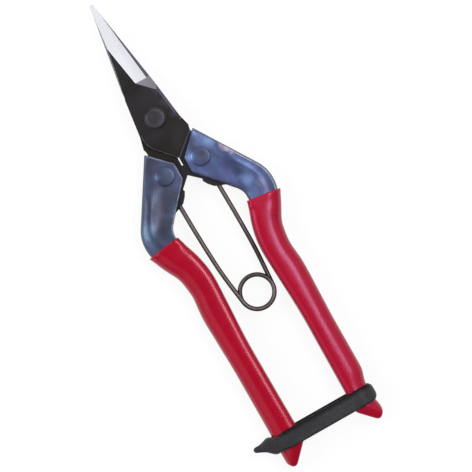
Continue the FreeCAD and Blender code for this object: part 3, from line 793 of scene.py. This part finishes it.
def make_handle(context, node):
    """Copy of a pressing whose creases are soft, with a painted highlight along its rims and its fold's crown, and
    painted shade in its creases and inside the right knee.
    """
    handles = context.scene.shears_handles
    side = node.split("_")[0]
    bm = copy_of(node)
    rims = [edge for edge in bm.edges if is_rim(edge)]
    creases = [edge for edge in bm.edges if is_crease(edge)]
    knee = [edge for edge in rims if edge.verts[0].co.y - pivot.y < knee_top
            and min(face.normal.x for face in edge.link_faces) < knee_side]
    knee = places_along(knee) if side == "right" else None
    rims, creases = places_along(rims), places_along(creases)
    bm = regridded(bm, handles.sheet_grid)
    smoothed(bm, bm.verts, sheet_rounds)
    bm.normal_update()
    inside = [vert for vert in bm.verts if rims.find(vert.co)[2] > handles.rim_kept
              and (abs(vert.normal.z) > broad_face or abs(vert.normal.z) > crease_face
                   and creases.find(vert.co)[2] < handles.crease_reach)]
    smoothed(bm, inside, handles.crease_rounds)
    edge, crease = bm.verts.layers.float.new("edge"), bm.verts.layers.float.new("crease")
    bm.normal_update()
    for vert in bm.verts:
        # Painted highlight: the rim line and the fold's crown, strongest where the surface faces the key light at
        # +X
        towards_key = min(max(vert.normal.x * highlight_turn + highlight_level, highlight_least), 1.0)
        rim = max(0, 1 - rims.find(vert.co)[2] / handles.rim_line_width)
        slope = math.degrees(math.acos(min(abs(vert.normal.z), 1)))
        crown = max(0, 1 - abs(slope - crown_slope) / crown_half) * (side == "right")
        vert[edge] = max(rim, crown) * towards_key
        # Painted shade: a dark line along the creases, and inside the right handle's knee
        line = max(0, 1 - creases.find(vert.co)[2] / handles.crease_width)
        if knee:
            vert[crease] = max(line, knee_dark * (1 - knee.find(vert.co)[2] / handles.knee_shade))
        else:
            vert[crease] = left_dark * line
    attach(finished(bm, node, [blued(side, handles)], 50), body_of(node))


# ---- grips and strap
# Depths below a grip's rim, then lengths above the end of its tail
rim_depth, reach_depth, reach_fade, swell_fade = 3.2 * MM, 3 * MM, 6 * MM, 4 * MM
palm_end = 10 * MM
skin_rounds, tab_rounds, strap_rounds = 3, 30, 8      # rounds of smoothing
# Places along the strap, from the tip of its tab
root_start, tab_end, straight_start = 3 * MM, 13 * MM, 16 * MM
dark_start, dark_fade = 9, 3              # its painted shade along the edges grows from here, in mm
upper_dark, lower_dark = (1.5, 1.5), (0.6, 1.2)       # how dark at the edge, and how fast it fades


def make_grip(context, node):
    """Copy of a dipped grip, softened all over but for its rim, and less at its tail."""
    soft = context.scene.shears_soft
    side = node.split("_")[0]
    low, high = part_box(node)
    bm = regridded(copy_of(node), soft.grip_grid)
    below_rim = [vert for vert in bm.verts if vert.co.y < high.y - rim_depth]
    if side == "left":
        for vert in bm.verts:
            near = min(max(1 - (high.y - reach_depth - vert.co.y) / reach_fade, 0), 1)
            vert.co += Vector(soft.left_reach) * near
    tone, sheen, shine, gloss, rounds = of_side(soft, side, "crimson", "sheen", "shine", "gloss", "rounds")
    smoothed(bm, [vert for vert in below_rim if vert.co.y > low.y + palm_end], rounds)
    smoothed(bm, below_rim, soft.tail_rounds)
    smoothed(bm, bm.verts, skin_rounds)
    bm.normal_update()
    for vert in below_rim:
        from_rim = high.y - rim_depth - vert.co.y
        vert.co += vert.normal * soft.grip_swell * min(from_rim / swell_fade, 1)
    skin = material("Dipped vinyl " + side, vinyl_material, soft, tone, sheen, shine, gloss,
                    soft.mark_depth if side == "right" else 0.0)
    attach(finished(bm, node, [skin], 60), body_of(node))


def make_strap(context):
    """Copy of the strap with softened edges, and with its tab drawn out of the loop in one flow."""
    soft = context.scene.shears_soft
    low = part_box("closing_strap")[0]
    bm = copy_of("closing_strap")
    root = [vert for vert in bm.verts if root_start < vert.co.x - low.x < soft.tab_root]
    bmesh.ops.convex_hull(bm, input=root, use_existing_faces=False)
    bm = regridded(bm, soft.strap_grid)
    smoothed(bm, [vert for vert in bm.verts if vert.co.x < low.x + tab_end], tab_rounds)
    smoothed(bm, bm.verts, strap_rounds)
    # Painted shade: a dark line along the upper and lower edges, fading in from the tab
    edge = bm.verts.layers.float.new("edge")
    top = max(vert.co.y for vert in bm.verts if vert.co.x > low.x + straight_start)
    for vert in bm.verts:
        upper = max(upper_dark[0] - upper_dark[1] * (top - vert.co.y) / soft.edge_width, 0)
        lower = max(lower_dark[0] - lower_dark[1] * (vert.co.y - low.y) / soft.edge_width, 0)
        from_tab = (vert.co.x - low.x) / MM - dark_start
        vert[edge] = min(max(upper, lower), 1) * min(max(from_tab / dark_fade, 0), 1)
    rubber = material("Strap rubber", rubber_material, soft)
    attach(finished(bm, "closing_strap", [rubber], 60), body_of("closing_strap"))


# ---- rivets and spring
left_route = [(-8.4, -30.4), (-8.1, -47.0), (-7.3, -63.5)]      # corners of the legs' middle lines
right_route = [(8.4, -31.0), (8.74, -49.0), (8.66, -61.5)]
bend_share, bend_steps = 0.45, 6      # how much of a straight run goes into a bend, and steps in it
leg_seat = -36 * MM                   # the tangs carry the legs above this
head_angle, head_steps = 24, 5        # edges of a rivet that are rounded, and steps in the rounding


def make_rivet(node, rounding, worn, metal):
    """Copy of a rivet or washer with its edges rounded."""
    bm = copy_of(node)
    eased(bm, rounding, head_angle, head_steps, worn)
    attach(finished(bm, node, [metal], 50), body_of(node))


def edges_of(geometry):
    return [item for item in geometry if isinstance(item, bmesh.types.BMEdge)]


def drawn_on(bm, rim, move):
    """Draws the wire's open rim straight on."""
    made = bmesh.ops.extrude_edge_only(bm, edges=rim)["geom"]
    verts = [item for item in made if isinstance(item, bmesh.types.BMVert)]
    bmesh.ops.translate(bm, verts=verts, vec=move)
    return [edge for edge in edges_of(made) if set(edge.verts) <= set(verts)]


def bent_round(bm, rim, centre, turn, steps, rise):
    """Draws the wire's open rim round a centre."""
    verts = list(dict.fromkeys(vert for edge in rim for vert in edge.verts))
    made = bmesh.ops.spin(bm, geom=rim + verts, cent=centre, axis=(0, 0, 1), dvec=(0, 0, rise / steps),
                          angle=turn, steps=steps, use_duplicate=False)
    return edges_of(made["geom_last"])


def leg_drawn(bm, rim, route):
    """Draws the wire's rim along a leg: straight runs, with a wide bend at each corner between them."""
    here = route[0]
    for before, corner, after in zip(route, route[1:], route[2:]):
        reach = bend_share * min((corner - before).length, (after - corner).length)
        start = corner + (before - corner).normalized() * reach
        end = corner + (after - corner).normalized() * reach
        heading = (corner - before).xy.normalized()
        turn = -heading.angle_signed((after - corner).xy)
        radius = reach / math.tan(turn / 2)
        centre = (start.x - heading.y * radius, start.y + heading.x * radius, 0)
        rim = drawn_on(bm, rim, start - here)
        rim = bent_round(bm, rim, centre, turn, bend_steps, end.z - start.z)
        here = end
    return drawn_on(bm, rim, route[-1] - here)


def make_spring(context):
    """One round wire: left leg, one and a half turns of coil, right leg. Its legs end in the tangs."""
    wire = context.scene.shears_spring
    centre = pivot + Vector((wire.coil_side, wire.coil_along, 0))
    first = math.pi + wire.leave_left
    turn = 3 * math.pi - wire.leave_left - wire.leave_right
    fall = wire.coil_pitch * turn / math.tau

    def on_coil(around, height):
        across, along = wire.coil_radius * math.cos(around), wire.coil_radius * math.sin(around)
        return centre + Vector((across, along, height))

    def leg(places, last):
        """Points down a leg, at heights that change evenly from the pivot's to the coil's."""
        tops = [pivot + Vector((x * MM, y * MM, 0)) for x, y in places]
        far = (last - tops[0]).xy.length
        rises = [(last.z - pivot.z) * (top - tops[0]).xy.length / far for top in tops]
        return [top + Vector((0, 0, rise)) for top, rise in zip(tops, rises)] + [last]

    left = leg(left_route, on_coil(first, fall / 2))
    right = leg(right_route, on_coil(first + turn, -fall / 2))
    bm = bmesh.new()
    facing = (left[1] - left[0]).to_track_quat("Z", "Y").to_matrix().to_4x4()
    bmesh.ops.create_circle(bm, segments=wire.sides, radius=wire.wire_width / 2,
                            matrix=Matrix.Translation(left[0]) @ facing)
    start = bm.edges[:]
    rim = leg_drawn(bm, start, left)
    rim = bent_round(bm, rim, centre, turn, round(wire.steps * turn / math.tau), -fall)
    rim = leg_drawn(bm, rim, right[::-1])
    bmesh.ops.edgeloop_fill(bm, edges=start)
    bmesh.ops.edgeloop_fill(bm, edges=rim)
    bmesh.ops.recalc_face_normals(bm, faces=bm.faces)
    spring = finished(bm, "return_spring", [material("Oiled wire", wire_material, wire)], 50)
    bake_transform(spring, "left_half", "right_half", start=left[0], end=right[0])
    coil = centre.y - pivot.y + wire.coil_radius
    weights = spring.data.attributes["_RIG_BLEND"].data
    for vert, weight in zip(spring.data.vertices, weights):
        far = min(max(vert.co.y - pivot.y, coil), leg_seat)
        swing = 0.5 * (leg_seat / far) * (far - coil) / (leg_seat - coil)
        weight.value = 0.5 + math.copysign(swing, vert.co.x - centre.x)


# ---- stage
lights = {"key": (0.34, (0.34, 0.02, 0.95)), "fill": (0.5, (-0.62, 0.36, 0.75))}      # width and place
floor_half = 6.0


def add_light(name, energy):
    """A square soft light, turned towards the shears."""
    size, place = lights[name]
    lamp = bpy.data.lights.new(name, "AREA")
    lamp.shape = "SQUARE"
    lamp.size = size
    lamp.energy = energy
    light = placed(name, lamp)
    light.location = place
    light.rotation_euler = (-Vector(place)).to_track_quat("-Z", "Y").to_euler()


def make_floor(stage):
    """A pale floor that shows white and keeps a soft shadow."""
    bm = bmesh.new()
    bmesh.ops.create_grid(bm, x_segments=1, y_segments=1, size=floor_half)
    mesh = mesh_of(bm, "floor")
    floor = placed("floor", mesh)
    floor.location = (0, 0, cad_box[0][2])
    material = bpy.data.materials.new("Floor")
    material.use_nodes = True
    tree = material.node_tree
    tree.nodes.remove(tree.nodes["Principled BSDF"])
    seen = add(tree, "LightPath")
    seen = math_node(tree, "ADD", seen.outputs["Is Camera Ray"], seen.outputs["Is Glossy Ray"], True)
    matt = add(tree, "BsdfDiffuse", {"Color": stage.floor})
    glow = add(tree, "Emission", {"Color": (1, 1, 1, 1), "Strength": 1.0})
    glowing = times(tree, seen, stage.floor_glow)
    mix = add(tree, "MixShader", {0: glowing, 1: matt.outputs[0], 2: glow.outputs[0]})
    tree.links.new(mix.outputs[0], tree.nodes["Material Output"].inputs["Surface"])
    mesh.materials.append(material)


def make_camera(stage):
    """A long lens straight above, rolled so that the blades point up and to the left."""
    lens = bpy.data.cameras.new("camera")
    lens.lens = lens.sensor_width * stage.view_height / stage.view_width
    lens.clip_end = 20
    camera = placed("camera", lens)
    place = Matrix.Translation(pivot + Vector((stage.view_side, stage.view_along, stage.view_height)))
    camera.matrix_world = place @ Matrix.Rotation(-stage.view_roll, 4, "Z")
    bpy.context.scene.camera = camera


def make_world(stage):
    """A white tent, open at the top, and darker at its foot and on the near side."""
    world = bpy.data.worlds.new("world")
    world.use_nodes = True
    tree = world.node_tree
    ray = add(tree, "TexCoord").outputs["Generated"]
    direction = add(tree, "SeparateXYZ", {"Vector": ray})
    opening = ramp(tree, direction.outputs["Z"], 0.86, 0.97, 1.0, 0.12)
    near = ramp(tree, direction.outputs["Y"], -0.75, 0.0, 0.15, 1.0)
    foot = ramp(tree, direction.outputs["Z"], 0.0, 0.45, 0.4, 1.0)
    strength = times(tree, times(tree, opening, near), times(tree, foot, stage.tent))
    seen = add(tree, "LightPath").outputs["Is Camera Ray"]
    background = tree.nodes["Background"]
    background.inputs["Color"].default_value = stage.tent_tint
    tree.links.new(math_node(tree, "MAXIMUM", strength, seen), background.inputs["Strength"])
    bpy.context.scene.world = world


# ---- operators
class SHEARS_OT_groups(bpy.types.Operator):
    """Makes the node groups that the materials share"""
    bl_idname = "shears.groups"
    bl_label = "Shared groups"

    def execute(self, context):
        for make in (fine_grain_group, grind_lines_group, worn_edge_group, soft_patches_group,
                     tint_spot_group, flanks_group):
            make()
        return {"FINISHED"}


class SHEARS_OT_blades(bpy.types.Operator):
    """Finishes the two blades"""
    bl_idname = "shears.blades"
    bl_label = "Blades"

    def execute(self, context):
        for node in ("front_blade", "rear_blade"):
            make_blade(context, node)
        return {"FINISHED"}


class SHEARS_OT_rivets(bpy.types.Operator):
    """Finishes the pivot rivet, its washer and the two tang rivets"""
    bl_idname = "shears.rivets"
    bl_label = "Rivets"

    def execute(self, context):
        steel, handles = context.scene.shears_steel, context.scene.shears_handles
        burnished = material("Burnished rivet", rivet_material, steel)
        for node in ("pivot_rivet", "pivot_washer"):
            make_rivet(node, steel.head_ease, 1.0, burnished)
        for side in ("right", "left"):
            make_rivet(side + "_tang_rivet", handles.boss_ease, 0.0, blued(side, handles))
        return {"FINISHED"}


class SHEARS_OT_handles(bpy.types.Operator):
    """Finishes the two blued handle pressings"""
    bl_idname = "shears.handles"
    bl_label = "Handles"

    def execute(self, context):
        for node in ("right_handle", "left_handle"):
            make_handle(context, node)
        return {"FINISHED"}


class SHEARS_OT_grips(bpy.types.Operator):
    """Finishes the two dipped grips"""
    bl_idname = "shears.grips"
    bl_label = "Grips"

    def execute(self, context):
        for node in ("right_grip", "left_grip"):
            make_grip(context, node)
        return {"FINISHED"}


class SHEARS_OT_spring(bpy.types.Operator):
    """Draws the wire spring, which bends between the two halves"""
    bl_idname = "shears.spring"
    bl_label = "Spring"

    def execute(self, context):
        make_spring(context)
        return {"FINISHED"}


class SHEARS_OT_strap(bpy.types.Operator):
    """Finishes the rubber strap"""
    bl_idname = "shears.strap"
    bl_label = "Strap"

    def execute(self, context):
        make_strap(context)
        return {"FINISHED"}


class SHEARS_OT_stage(bpy.types.Operator):
    """Makes the floor, the soft lights, the world and the camera"""
    bl_idname = "shears.stage"
    bl_label = "Stage"

    def execute(self, context):
        stage = context.scene.shears_stage
        make_floor(stage)
        make_world(stage)
        make_camera(stage)
        add_light("key", stage.key_power)
        add_light("fill", stage.fill_power)
        context.scene.view_settings.view_transform = "Standard"
        return {"FINISHED"}


class SHEARS_PT_sidebar(bpy.types.Panel):
    """Sizes, colours and steps of the shears"""
    bl_label = "Bud shears"
    bl_idname = "SHEARS_PT_sidebar"
    bl_space_type = "VIEW_3D"
    bl_region_type = "UI"
    bl_category = "Shears"

    def draw(self, context):
        for group in settings_groups:
            settings = getattr(context.scene, group)
            for name in settings.__annotations__:
                self.layout.prop(settings, name)
        for operator in steps:
            self.layout.operator(operator.bl_idname)


steps = (SHEARS_OT_groups, SHEARS_OT_stage, SHEARS_OT_blades, SHEARS_OT_rivets, SHEARS_OT_handles,
         SHEARS_OT_grips, SHEARS_OT_spring, SHEARS_OT_strap)
settings_groups = {"shears_steel": ShearsSteelSettings, "shears_handles": ShearsHandleSettings,
                   "shears_spring": ShearsSpringSettings, "shears_soft": ShearsSoftSettings,
                   "shears_stage": ShearsStageSettings}


def register():
    for name, group in settings_groups.items():
        bpy.utils.register_class(group)
        setattr(bpy.types.Scene, name, PointerProperty(type=group))
    for operator in steps:
        bpy.utils.register_class(operator)
    bpy.utils.register_class(SHEARS_PT_sidebar)


def unregister():
    bpy.utils.unregister_class(SHEARS_PT_sidebar)
    for operator in reversed(steps):
        bpy.utils.unregister_class(operator)
    for name, group in settings_groups.items():
        delattr(bpy.types.Scene, name)
        bpy.utils.unregister_class(group)


def main():
    register()
    for operator in steps:
        family, name = operator.bl_idname.split(".")
        getattr(getattr(bpy.ops, family), name)()


if __name__ == "__main__":
    main()
